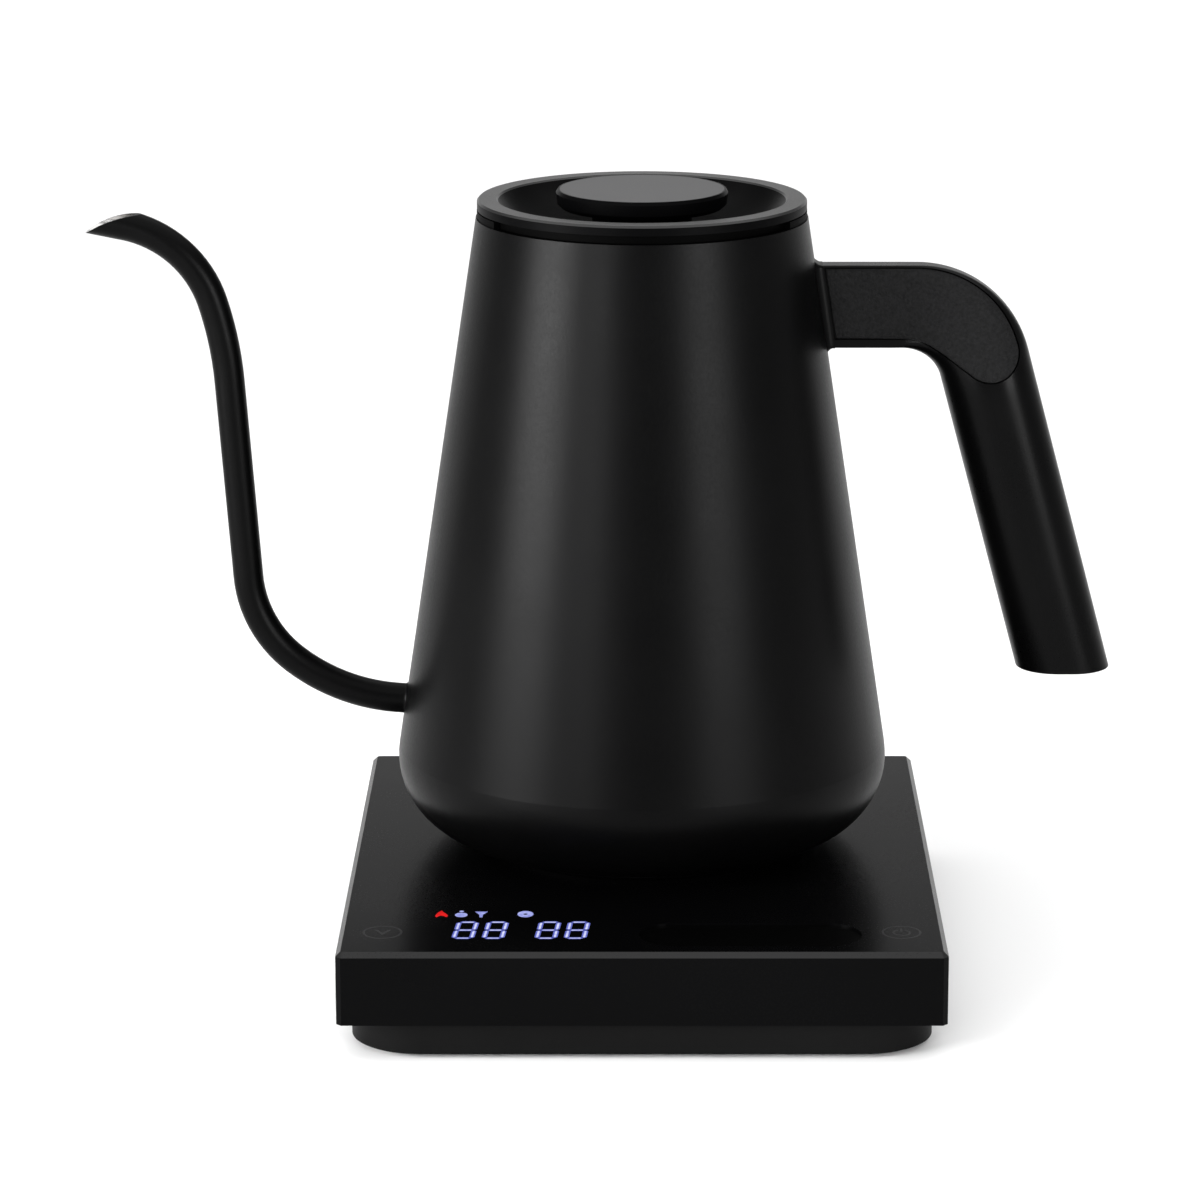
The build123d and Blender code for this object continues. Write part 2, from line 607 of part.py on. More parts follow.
# Spout: up from the foot, over in a gooseneck, and cut to a slanting lip
ARCS_OUT = [(46.2, -34.6), (30.0, -47.2)]
RISER = 49.8
ARCS_OVER = [(88.1, 13.15), (27.9, 61.3)]
FLARE = 0.9
FLARE_START = 2.7
LIP_RISE = 1.15
with BuildPart() as spout_tube:
    with BuildLine(Plane.XZ) as spout_path:
        run = Line((SPOUT_X, SPOUT_Z), (SPOUT_X - 5.2 * cos(radians(SPOUT_RISE)),
                                       SPOUT_Z + 5.2 * sin(radians(SPOUT_RISE))))
        for arc_radius, arc_turn in ARCS_OUT:
            run = JernArc(run @ 1, run % 1, arc_radius, arc_turn)
        run = Line(run @ 1, (run @ 1) + (run % 1) * RISER)
        for arc_radius, arc_turn in ARCS_OVER:
            run = JernArc(run @ 1, run % 1, arc_radius, arc_turn)
        Line(run @ 1, (run @ 1) + (run % 1) * 14)
    with BuildSketch(Plane(origin=SPOUT_START, z_dir=SPOUT_AIM)):
        Circle(TUBE_RADIUS)
        Circle(TUBE_BORE, mode=Mode.SUBTRACT)
    sweep(path=spout_path.line)
    # Flared foot of the tube, where it is welded to the body
    with BuildSketch(Plane(origin=SPOUT_START, x_dir=SPOUT_AIM, z_dir=(0, -1, 0))):
        with BuildLine():
            flare_top = (FLARE_START, TUBE_RADIUS + FLARE)
            flare_end = (FLARE_START + FLARE, TUBE_RADIUS)
            Polyline((0, TUBE_BORE), (0, TUBE_RADIUS + FLARE), flare_top)
            RadiusArc(flare_top, flare_end, -FLARE)
            Polyline(flare_end, (flare_end[0], TUBE_BORE), (0, TUBE_BORE))
        make_face()
    revolve(axis=Axis(SPOUT_START, SPOUT_AIM))
    add(body_solid.part, mode=Mode.SUBTRACT)
    # The lip is cut along an arc that bows up between its heel and its tip
    lip_length = hypot(HEEL[0] - TIP[0], HEEL[1] - TIP[1])
    lip_up = ((TIP[1] - HEEL[1]) / lip_length, (HEEL[0] - TIP[0]) / lip_length)
    lip_middle = ((HEEL[0] + TIP[0]) / 2 + LIP_RISE * lip_up[0],
                  (HEEL[1] + TIP[1]) / 2 + LIP_RISE * lip_up[1])
    with BuildSketch(Plane.XZ):
        with BuildLine():
            ThreePointArc(TIP, lip_middle, HEEL)
            Polyline(HEEL, (HEEL[0], HEEL[1] + 15), (TIP[0] - 25, HEEL[1] + 15),
                     (TIP[0] - 25, TIP[1] - 15), (TIP[0] - 8, TIP[1] - 15), TIP)
        make_face()
    extrude(amount=10, both=True, mode=Mode.SUBTRACT)
finish(spout_tube, "spout_tube")

# Everything outside the hollow, near the spout, to trim the strainer against the wall
with BuildPart() as wall_cutter:
    ring(80, 0, 45, 80)
    add(hollow_solid.part, mode=Mode.SUBTRACT)

STRAINER_X = -53.6
with BuildPart() as spout_filter:
    with BuildSketch(Plane.YZ.offset(STRAINER_X)):
        with Locations((0, SPOUT_Z)):
            Circle(8.8)
    extrude(amount=-8)
    with BuildSketch(Plane.YZ.offset(STRAINER_X - 0.6)):
        with Locations((0, SPOUT_Z)):
            Circle(8.2)
    extrude(amount=-8, mode=Mode.SUBTRACT)
    with BuildSketch(Plane.YZ.offset(STRAINER_X)):
        for row_radius, row_count in ((0.1, 1), (3.0, 6), (6.0, 12)):
            with Locations((0, SPOUT_Z)):
                with PolarLocations(row_radius, row_count):
                    Circle(0.9)
    extrude(amount=-1, mode=Mode.SUBTRACT)
    add(wall_cutter.part, mode=Mode.SUBTRACT)
finish(spout_filter, "spout_filter")

# Mouth collar: a neck under the lid, and a raised guard at each side
GUARD_HALF_ANGLE = 28.0
with BuildPart() as mouth_collar:
    with BuildSketch(Plane.XY.offset(BODY_TOP)):
        Circle(40.3)
        Circle(MOUTH, mode=Mode.SUBTRACT)
        reach = 60.0
        rise = reach * tan(radians(GUARD_HALF_ANGLE))
        Polygon((0, 0), (reach, rise), (reach, reach), (-reach, reach), (-reach, rise), align=None,
                mode=Mode.SUBTRACT)
        Polygon((0, 0), (reach, -rise), (reach, -reach), (-reach, -reach), (-reach, -rise), align=None,
                mode=Mode.SUBTRACT)
    extrude(amount=1.8)
    ring(38.5, MOUTH, 176.0, LID_UNDER)
    ring(wall_radius(BODY_TOP, WALL) - 0.05, MOUTH, BODY_TOP - 1.2, BODY_TOP)
finish(mouth_collar, "mouth_collar")

# Handle. The neck and the elbow are a flat blade, the grip is an oval rod.


def elbow_point(centre, radius, angle):
    """A point on one of the elbow's two arcs."""
    return (centre[0] + radius * cos(radians(angle)), centre[1] + radius * sin(radians(angle)))


def lean(top_x, height):
    """A point on a line that leans like the body's wall, through `top_x` at the neck's top."""
    return (top_x + (NECK_TOP - height) * tan(radians(SLOPE)), height)


GRIP_AIM = Vector(sin(radians(GRIP_LEAN)), 0, -cos(radians(GRIP_LEAN)))
grip_top = elbow_point(INNER_CENTRE, ELBOW_IN + GRIP_HALF, GRIP_LEAN)
GRIP_OVERLAP = 3.0
GRIP_START = Vector(grip_top[0], 0, grip_top[1]) - GRIP_OVERLAP * GRIP_AIM
GRIP_PLANE = Plane(origin=GRIP_START, x_dir=(cos(radians(GRIP_LEAN)), 0, sin(radians(GRIP_LEAN))),
                   z_dir=GRIP_AIM)
FLANGE_X = 43.1
FRAME_X = 44.2
PAD_X = 45.2
SCREW_X = (50.5, 60.0)
TONGUE_HALF = 1.0
BAR_LOW = 155.5
BAR_HIGH = 168.5


def pad_outline():
    """Draws a boot: along the neck, round the elbow, and to a round toe at the top of the grip."""
    top, bottom = NECK_TOP - 0.4, NECK_BOTTOM + 2.4
    outer = ELBOW_OUT - 0.4
    toe = 7.0
    heel_x = INNER_CENTRE[0] + 1.5
    toe_start = elbow_point(OUTER_CENTRE, outer, 22)
    toe_centre = elbow_point(OUTER_CENTRE, outer - toe, 22)
    toe_low = (toe_centre[0] - 0.3 * toe, toe_centre[1] - 0.95 * toe)
    Line(lean(PAD_X, bottom), lean(PAD_X, top))
    Line(lean(PAD_X, top), (OUTER_CENTRE[0], top))
    RadiusArc((OUTER_CENTRE[0], top), toe_start, outer)
    ThreePointArc(toe_start, (toe_centre[0] + 0.64 * toe, toe_centre[1] - 0.77 * toe), toe_low)
    Spline(toe_low, (76.8, 149.7), (heel_x, bottom), tangents=((-1, 0.35), (-1, 0)))
    Line((heel_x, bottom), lean(PAD_X, bottom))


with BuildSketch(Plane.XZ) as pad_shape:
    with BuildLine():
        pad_outline()
    make_face()

with BuildSketch(Plane.XZ) as frame_shape:
    with BuildLine():
        Line(lean(FRAME_X, NECK_BOTTOM), lean(FRAME_X, NECK_TOP))
        outside = [elbow_point(OUTER_CENTRE, ELBOW_OUT, angle) for angle in (90, 50, GRIP_LEAN)]
        inside = [elbow_point(INNER_CENTRE, ELBOW_IN, angle) for angle in (GRIP_LEAN, 50, 90)]
        Line(lean(FRAME_X, NECK_TOP), outside[0])
        ThreePointArc(*outside)
        Line(outside[-1], inside[0])
        ThreePointArc(*inside)
        Line(inside[-1], lean(FRAME_X, NECK_BOTTOM))
    make_face()


def blade_plan(depth):
    """The blade's plan, `depth` inside its side faces, which flare towards the grip."""
    neck, toe = NECK_HALF - depth, TOE_HALF - depth
    with BuildSketch(Plane.XY.offset(GRIP_END)) as plan:
        with BuildLine():
            Line((40, -neck), (63, -neck))
            Spline((63, -neck), (93, -toe), tangents=((1, 0), (1, -0.05)))
            Line((93, -toe), (110, -toe))
            Line((110, -toe), (110, toe))
            Line((110, toe), (93, toe))
            Spline((93, toe), (63, neck), tangents=((-1, -0.05), (-1, 0)))
            Line((63, neck), (40, neck))
            Line((40, neck), (40, -neck))
        make_face()
    return plan.sketch


PLAN_HEIGHT = 110.0
with BuildPart() as pad_pocket:
    extrude(pad_shape.sketch, amount=12, both=True)
    extrude(blade_plan(PAD_DEPTH), amount=PLAN_HEIGHT, mode=Mode.SUBTRACT)

with BuildPart() as tongue_solid:
    with BuildSketch(Plane.XZ):
        Polygon(lean(FRAME_X - 0.8, BAR_LOW), (64, BAR_LOW), (64, BAR_HIGH), lean(FRAME_X - 0.8, BAR_HIGH),
                align=None)
    extrude(amount=TONGUE_HALF, both=True)

SCREW_Z = (BAR_LOW + BAR_HIGH) / 2
with BuildPart() as handle_screws:
    for screw_x in SCREW_X:
        with BuildSketch(Plane.XZ.offset(-1.9)):
            with Locations((screw_x, SCREW_Z)):
                Circle(1.2)
        extrude(amount=3.8)
        with BuildSketch(Plane.XZ.offset(1.5)):
            with Locations((screw_x, SCREW_Z)):
                Circle(2.4)
        extrude(amount=0.7)
finish(handle_screws, "handle_screws")

with BuildPart() as handle_frame:
    extrude(frame_shape.sketch, amount=12, both=True)
    extrude(blade_plan(0), amount=PLAN_HEIGHT, mode=Mode.INTERSECT)
    with BuildSketch(GRIP_PLANE):
        Ellipse(GRIP_HALF, GRIP_DEPTH)
    extrude(amount=90)
    with BuildSketch(GRIP_PLANE.offset(12)):
        Ellipse(GRIP_HALF - GRIP_WALL, GRIP_DEPTH - GRIP_WALL)
    extrude(amount=90, mode=Mode.SUBTRACT)
    split(bisect_by=Plane.XY.offset(GRIP_END), keep=Keep.TOP)
    add(pad_pocket.part, mode=Mode.SUBTRACT)
    add(tongue_solid.part, mode=Mode.SUBTRACT)
    add(handle_screws.part, mode=Mode.SUBTRACT)
finish(handle_frame, "handle_frame")

for side, name in ((-1, "handle_pad_front"), (1, "handle_pad_rear")):
    with BuildPart() as handle_pad:
        add(pad_pocket.part)
        extrude(blade_plan(-PAD_PROUD), amount=PLAN_HEIGHT, mode=Mode.INTERSECT)
        split(bisect_by=Plane.XZ, keep=Keep.TOP if side < 0 else Keep.BOTTOM)
    finish(handle_pad, name)

CAP_TOP = 6.0
with BuildPart() as grip_end_cap:
    with BuildSketch(GRIP_PLANE.offset(60)):
        Ellipse(GRIP_HALF - GRIP_WALL, GRIP_DEPTH - GRIP_WALL)
    extrude(amount=40)
    split(bisect_by=Plane.XY.offset(GRIP_END), keep=Keep.TOP)
    split(bisect_by=Plane.XY.offset(GRIP_END + CAP_TOP), keep=Keep.BOTTOM)
finish(grip_end_cap, "grip_end_cap")

# Bracket: a slanting flange and a tongue, welded to the shell through a short stub
with BuildPart() as handle_bracket:
    with BuildSketch(Plane.XZ):
        Polygon(lean(FLANGE_X, NECK_BOTTOM), lean(FRAME_X, NECK_BOTTOM), lean(FRAME_X, NECK_TOP),
                lean(FLANGE_X, NECK_TOP), align=None)
    extrude(amount=NECK_HALF, both=True)
    with BuildSketch(Plane.XZ):
        Polygon((38, BAR_LOW - 2), lean(FLANGE_X, BAR_LOW - 2), lean(FLANGE_X, BAR_HIGH + 2),
                (38, BAR_HIGH + 2), align=None)
    extrude(amount=NECK_HALF - 0.4, both=True)
    add(body_solid.part, mode=Mode.SUBTRACT)
    add(tongue_solid.part)
    for screw_x in SCREW_X:
        with BuildSketch(Plane.XZ.offset(-4)):
            with Locations((screw_x, SCREW_Z)):
                Circle(1.25)
        extrude(amount=8, mode=Mode.SUBTRACT)
finish(handle_bracket, "handle_bracket")

# Lid

SKIRT = 35.4
SKIRT_FOOT = 176.5
VENT_PLACES = round_places(26.0, (90, 210, 330))
with BuildPart() as lid_top:
    with BuildSketch(Plane.XZ):
        with BuildLine():
            Line((2.1, DISH_FLOOR), (22.5, DISH_FLOOR))
            ThreePointArc((22.5, DISH_FLOOR), (29.3, 183.9), (DISH_RADIUS, LID_TOP - 0.4))
            Polyline((DISH_RADIUS, LID_TOP - 0.4), (DISH_RADIUS + 0.4, LID_TOP),
                     (LID_RADIUS - 0.5, LID_TOP), (LID_RADIUS, LID_TOP - 0.5), (LID_RADIUS, LID_UNDER),
                     (SKIRT, LID_UNDER), (SKIRT, 180.0), (34.9, 180.0), (34.9, 178.0),
                     (SKIRT, 178.0), (SKIRT, SKIRT_FOOT), (33.9, SKIRT_FOOT), (33.9, 184.6),
                     (29.0, 181.3), (22.5, 179.5), (2.1, 179.5), (2.1, DISH_FLOOR))
        make_face()
    revolve(axis=Axis.Z)
finish(lid_top, "lid_top")

with BuildPart() as lid_inner:
    ring(33.8, 0, SKIRT_FOOT - 1.0, SKIRT_FOOT)
    ring(33.8, 33.0, SKIRT_FOOT, 180.0)
    rods(VENT_PLACES, 2.0, SKIRT_FOOT - 1.0, SKIRT_FOOT, mode=Mode.SUBTRACT)
finish(lid_inner, "lid_inner")

with BuildPart() as lid_seal:
    turned((34.9, 178.0), (MOUTH - 0.6, 178.0), (MOUTH - 0.25, 178.6), (MOUTH - 0.25, 179.4),
           (MOUTH - 0.6, 180.0), (34.9, 180.0))
finish(lid_seal, "lid_seal")

with BuildPart() as lid_knob:
    turned((0, DISH_FLOOR), (12.0, DISH_FLOOR), (12.5, 186.3), (19.6, 186.3), (KNOB_RADIUS - 0.3, 187.3),
           (KNOB_RADIUS, 190.0), (20.5, KNOB_TOP), (20.1, KNOB_TOP), (20.1, 190.0), (0, 190.0))
    ring(2.05, 0, DISH_FLOOR, 188.0, mode=Mode.SUBTRACT)
finish(lid_knob, "lid_knob")

with BuildPart() as knob_cap:
    ring(20.1, 0, 190.0, KNOB_TOP)
finish(knob_cap, "knob_cap")

with BuildPart() as lid_screw:
    ring(4.5, 0, 177.4, 179.5)
    ring(2.0, 0, 179.5, 187.5)
finish(lid_screw, "lid_screw")
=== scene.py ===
"""Looks of the gooseneck kettle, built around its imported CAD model.

Metres, in the row's frame: +Z up, the spout at -X, the handle at +X and the control panel at -Y.
"""

import json
import math

import bmesh
import bpy
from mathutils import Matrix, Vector
from mathutils.bvhtree import BVHTree
from mathutils.geometry import delaunay_2d_cdt


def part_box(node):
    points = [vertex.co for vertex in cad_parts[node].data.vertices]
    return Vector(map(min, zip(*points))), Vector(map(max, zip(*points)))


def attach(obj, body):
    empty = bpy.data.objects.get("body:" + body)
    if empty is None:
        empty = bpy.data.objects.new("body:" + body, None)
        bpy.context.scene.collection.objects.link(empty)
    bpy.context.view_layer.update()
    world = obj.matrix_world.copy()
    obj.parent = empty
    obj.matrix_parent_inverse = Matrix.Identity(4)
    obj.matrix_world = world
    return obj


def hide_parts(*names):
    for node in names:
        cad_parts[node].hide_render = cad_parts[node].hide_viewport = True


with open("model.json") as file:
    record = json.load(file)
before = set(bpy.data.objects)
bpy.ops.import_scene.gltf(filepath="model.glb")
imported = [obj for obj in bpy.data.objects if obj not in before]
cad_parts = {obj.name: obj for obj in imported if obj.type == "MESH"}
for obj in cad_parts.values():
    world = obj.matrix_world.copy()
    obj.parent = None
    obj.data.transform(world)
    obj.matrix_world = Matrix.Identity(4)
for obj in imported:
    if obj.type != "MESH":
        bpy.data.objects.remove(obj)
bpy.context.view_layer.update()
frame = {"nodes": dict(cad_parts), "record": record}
MM = 0.001

# Meshes: points nearer than MERGE are one point, and an edge that turns by more than HARD_EDGE
# degrees is shaded as a hard edge
MERGE = 0.001 * MM
HARD_EDGE = 32

# Camera: a long lens in front of the kettle, looking down on it
CAMERA_DISTANCE = 1162.2 * MM
CAMERA_PITCH = math.radians(14.6)
AIM_HEIGHT = 87.14 * MM
LENS = 139.86
SENSOR_WIDTH = 36
SHIFT_X = -0.035

# Softboxes in front of the kettle: distance, height of the middle, length upwards, and beam
SOFT_DISTANCE = 1.1
SOFT_HEIGHT = 0.34
SOFT_TALL = 0.46
SOFT_BEAM = math.radians(75)

# A mix node holds sockets for each kind of value: these are the ones for colours
MIX_FIRST, MIX_SECOND, MIX_RESULT = 6, 7, 2

# Kettle body: the cone's slope, its radius at its foot, and the height of the body's lower corner
SLOPE = math.radians(8.64)
CONE_FOOT_RADIUS = 60.78 * MM
CONE_FOOT_HEIGHT = 51.05 * MM
CORNER_HEIGHT = 48.2 * MM
WALL = 0.8 * MM

# Tops of the lid and the base, and how far down the lid's rounding and the base's edge cut reach; faces
# there get painted highlights
LID_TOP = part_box("lid_top")[1].z
PLATE_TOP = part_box("base_cover")[1].z
RIM_ROUNDING = 0.45 * MM
EDGE_CUT = 1.2 * MM

# Bright middle of each lit bar of the display: how far it stays inside the bar
CORE_INSET = 0.36 * MM

# Spout: the direction of its last straight length, and how far the lip's tip is below its heel
TUBE_RADIUS = 3.725 * MM
OUTLET_RISE = math.radians(11.4)
OUTLET_AIM = Vector((-math.cos(OUTLET_RISE), 0, math.sin(OUTLET_RISE)))
OUTLET_UP = Vector((math.sin(OUTLET_RISE), 0, math.cos(OUTLET_RISE)))
LIP_DROP = 4.7 * MM
LIP_TIP = Vector((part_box("spout_tube")[0].x, 0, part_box("spout_tube")[1].z - LIP_DROP))
LIP_CENTRE = LIP_TIP + TUBE_RADIUS * OUTLET_UP
MOUTH_LENGTH = 15 * MM

# Handle, in the plane of the spout: a flat neck, an elbow between two arcs, and an oval grip
NECK_LOW, NECK_HIGH = (edge.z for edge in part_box("handle_bracket"))
FRAME_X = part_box("handle_frame")[0].x
ELBOW_OUT = 28.3 * MM
OUTER_CENTRE = (67.56 * MM, NECK_HIGH - ELBOW_OUT)
ELBOW_IN = 10.0 * MM
INNER_CENTRE = (63.8 * MM, NECK_LOW - ELBOW_IN)
GRIP_LEAN = math.radians(15.17)
GRIP_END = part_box("handle_frame")[0].z
GRIP_WALL = 2.6 * MM
NECK_DEPTH = 3.2 * MM
GRIP_DEPTH = 10.2 * MM
NECK_ROUND = 0.7 * MM
GRIP_ROUND = 9.9 * MM
GRIP_HOLLOW = 12 * MM
SWELL_FROM = 15 * MM
SWELL_OVER = 38 * MM

# Pads: how far their outline stays inside the handle's edges, the round toe, and the lower elbow
PAD_X = FRAME_X + 0.5 * MM
PAD_INSET_TOP = 0.75 * MM
PAD_INSET_LOW = 2.5 * MM
PAD_INSET_TOE = 2.3 * MM
PAD_STEPS = 26
TOE_RADIUS = 6.9 * MM
TOE_FIRST = math.radians(23)
TOE_LAST = math.radians(-125)
PAD_ELBOW_X = 66.0 * MM
PAD_GROOVE = 0.35 * MM
PAD_PROUD = 0.12 * MM
POCKET_DEPTH = 0.9 * MM

# Weld between body and handle: how far it flares, how late, and how far its ends are sunk
WELD_STEPS = 8
WELD_FLARE = 1.3 * MM
WELD_CURVE = 2.2
WELD_IN_HANDLE = 0.05 * MM
WELD_IN_BODY = 0.2 * MM


# Camera, light and floor


def make_camera():
    """The camera looks along +Y, down onto the kettle's upright axis."""
    data = bpy.data.cameras.new("camera")
    data.lens = LENS
    data.sensor_width = SENSOR_WIDTH
    data.shift_x = SHIFT_X
    data.clip_start = 0.01
    data.clip_end = 50
    camera = bpy.data.objects.new("camera", data)
    back, up = math.cos(CAMERA_PITCH), math.sin(CAMERA_PITCH)
    camera.location = (0, -CAMERA_DISTANCE * back, AIM_HEIGHT + CAMERA_DISTANCE * up)
    camera.rotation_euler = (math.pi / 2 - CAMERA_PITCH, 0, 0)
    bpy.context.scene.collection.objects.link(camera)
    bpy.context.scene.camera = camera


def make_world(level):
    """A plain, dim surrounding, so that black surfaces stay black between the softboxes."""
    world = bpy.data.worlds.new("surrounding")
    bpy.context.scene.world = world
    world.use_nodes = True
    back = world.node_tree.nodes["Background"]
    back.inputs["Color"].default_value = (1, 1, 1, 1)
    back.inputs["Strength"].default_value = level


def add_lamp(name, kind, place, aim, power):
    """A lamp at `place` that faces `aim`."""
    data = bpy.data.lights.new(name, kind)
    data.energy = power
    lamp = bpy.data.objects.new(name, data)
    lamp.location = place
    lamp.rotation_euler = (Vector(aim) - Vector(place)).to_track_quat("-Z", "Y").to_euler()
    bpy.context.scene.collection.objects.link(lamp)
    return data


def add_softbox(name, azimuth, distance, height, size, power, beam):
    """An upright softbox round the kettle. Azimuth 0 is at the camera and 90 at the handle's side."""
    turn = math.radians(azimuth)
    place = (distance * math.sin(turn), -distance * math.cos(turn), height)
    data = add_lamp(name, "AREA", place, (0, 0, height), power)
    data.shape = "RECTANGLE"
    data.size, data.size_y = size
    data.spread = beam


def make_lights():
    """A wide soft light from above, three softboxes in front and a long one behind."""
    sun = add_lamp("overhead", "SUN", (0, 0, 2), (0, 0, 0), 2.55)
    sun.angle = math.radians(100)
    for name, azimuth, width, power in (("soft_left", -61, 0.56, 5.2),
                                        ("soft_middle", -27, 0.26, 1.0),
                                        ("soft_right", 40, 0.46, 1.9)):
        add_softbox(name, azimuth, SOFT_DISTANCE, SOFT_HEIGHT, (width, SOFT_TALL), power,
                    SOFT_BEAM)
    add_softbox("soft_back", 180, 2.6, 0.50, (3.4, 0.5), 5.6, math.radians(180))


def make_floor():
    """A plain pale floor, wide enough for every view."""
    reach = 9.0
    mesh = bpy.data.meshes.new("floor")
    corners = [(-reach, -reach, 0), (reach, -reach, 0), (reach, reach, 0), (-reach, reach, 0)]
    mesh.from_pydata(corners, [], [(0, 1, 2, 3)])
    floor = bpy.data.objects.new("floor", mesh)
    bpy.context.scene.collection.objects.link(floor)
    shader = new_material("floor")[0]
    shader.inputs["Base Color"].default_value = (0.95, 0.95, 0.95, 1)
    shader.inputs["Roughness"].default_value = 0.9
    shader.inputs["Specular IOR Level"].default_value = 0.1
    mesh.materials.append(bpy.data.materials["floor"])


# Materials. Each one is procedural, in object space.


def new_material(name):
    """A new node material: its shader, its node tree, and a helper that adds a linked node."""
    material = bpy.data.materials.new(name)
    material.use_nodes = True
    tree = material.node_tree
    shader = tree.nodes["Principled BSDF"]

    def node(kind, settings=None, **links):
        made = tree.nodes.new(kind)
        for key, value in (settings or {}).items():
            setattr(made, key, value)
        for socket, source in links.items():
            target = made.inputs[int(socket[1:])] if socket[0] == "i" else made.inputs[socket]
            if isinstance(source, bpy.types.NodeSocket):
                tree.links.new(source, target)
            else:
                target.default_value = source
        return made

    return shader, tree, node


def place_of(node):
    """The point of the surface in the row frame."""
    return node("ShaderNodeTexCoord").outputs["Object"]


def grain(node, place, scale, detail=3.0, roughness=0.55):
    """Soft noise of about 1 / `scale` metres."""
    made = node("ShaderNodeTexNoise", i0=place)
    made.inputs["Scale"].default_value = scale
    made.inputs["Detail"].default_value = detail
    made.inputs["Roughness"].default_value = roughness
    return made.outputs["Fac"]


def spread(node, source, low, high):
    """Maps noise, which lies mostly between 0.3 and 0.7, to a range."""
    made = node("ShaderNodeMapRange", i0=source)
    made.inputs["From Min"].default_value = 0.3
    made.inputs["From Max"].default_value = 0.7
    made.inputs["To Min"].default_value = low
    made.inputs["To Max"].default_value = high
    return made.outputs["Result"]


def mix_colours(node, share, first, second):
    """From colour `first` where `share` is 0 to colour `second` where it is 1."""
    shade = node("ShaderNodeMix", {"data_type": "RGBA"})
    shade.id_data.links.new(share, shade.inputs["Factor"])
    shade.inputs[MIX_FIRST].default_value = (*first, 1)
    shade.inputs[MIX_SECOND].default_value = (*second, 1)
    return shade.outputs[MIX_RESULT]


def bump(node, height, strength, distance):
    """The surface's slant where `height` runs from 0 to 1 over `distance`."""
    made = node("ShaderNodeBump")
    made.inputs["Strength"].default_value = strength
    made.inputs["Distance"].default_value = distance
    made.id_data.links.new(height, made.inputs["Height"])
    return made.outputs["Normal"]


def moulded(name, colour, rough, scale, depth,
            specular=0.5, metallic=0.0, tint=0.12, cloud=28.0):
    """A painted, moulded or metal surface: a fine grain, and a slow change in gloss and shade."""
    slow_gloss, fine_gloss = 0.02, 0.03
    shader, tree, node = new_material(name)
    place = place_of(node)
    fine = grain(node, place, scale)
    slow = grain(node, place, cloud, detail=2.0)
    dark = [c * (1 - tint) for c in colour]
    light = [c * (1 + tint) for c in colour]
    shade = mix_colours(node, spread(node, slow, 0, 1), dark, light)
    tree.links.new(shade, shader.inputs["Base Color"])
    gloss = node("ShaderNodeMath", {"operation": "ADD"},
                 i0=spread(node, slow, -slow_gloss, slow_gloss),
                 i1=spread(node, fine, rough - fine_gloss, rough + fine_gloss))
    tree.links.new(gloss.outputs[0], shader.inputs["Roughness"])
    tree.links.new(bump(node, fine, 0.5, depth), shader.inputs["Normal"])
    shader.inputs["Specular IOR Level"].default_value = specular
    shader.inputs["Metallic"].default_value = metallic
    return shader, tree, node, place


def glowing(name, colour, core, strength):
    """A lit mark: a diffusing window over a lamp, brighter in some places than others."""
    shader, tree, node = new_material(name)
    spots = grain(node, place_of(node), 900, detail=1.0)
    shade = mix_colours(node, spread(node, spots, 0, 1), colour, core)
    tree.links.new(shade, shader.inputs["Emission Color"])
    shader.inputs["Emission Strength"].default_value = strength
    shader.inputs["Base Color"].default_value = (0.002, 0.002, 0.003, 1)
    shader.inputs["Specular IOR Level"].default_value = 0.05
    shader.inputs["Roughness"].default_value = 0.35
    tree.links.new(bump(node, spots, 0.2, 0.02 * MM), shader.inputs["Normal"])


def steel_noise(node, place, stretch):
    """Fine lines of brushed steel: noise that is drawn out round the upright axis."""
    mapped = node("ShaderNodeMapping", i0=place)
    mapped.inputs["Scale"].default_value = stretch
    return grain(node, mapped.outputs[0], 400, detail=4.0)


def brushed(name, colour, rough):
    """Bare stainless steel with fine horizontal turning lines."""
    shader, tree, node = new_material(name)
    lines = steel_noise(node, place_of(node), (0.25, 0.25, 9.0))
    shader.inputs["Metallic"].default_value = 1.0
    shader.inputs["Base Color"].default_value = (*colour, 1)
    tree.links.new(spread(node, lines, rough - 0.08, rough + 0.1), shader.inputs["Roughness"])
    tree.links.new(bump(node, lines, 0.3, 0.02 * MM), shader.inputs["Normal"])


def turned_top(name, colour, rough):
    """The knob's top: a grey disc with fine concentric turning marks."""
    shader, tree, node, place = moulded(name, colour, rough, 3500, 0.01 * MM,
                                        specular=0.15, tint=0.05)
    rings = node("ShaderNodeTexWave", {"wave_type": "RINGS", "rings_direction": "Z"}, i0=place)
    rings.inputs["Scale"].default_value = 1400
    rings.inputs["Distortion"].default_value = 0.6
    tree.links.new(bump(node, rings.outputs["Fac"], 0.15, 0.01 * MM), shader.inputs["Normal"])


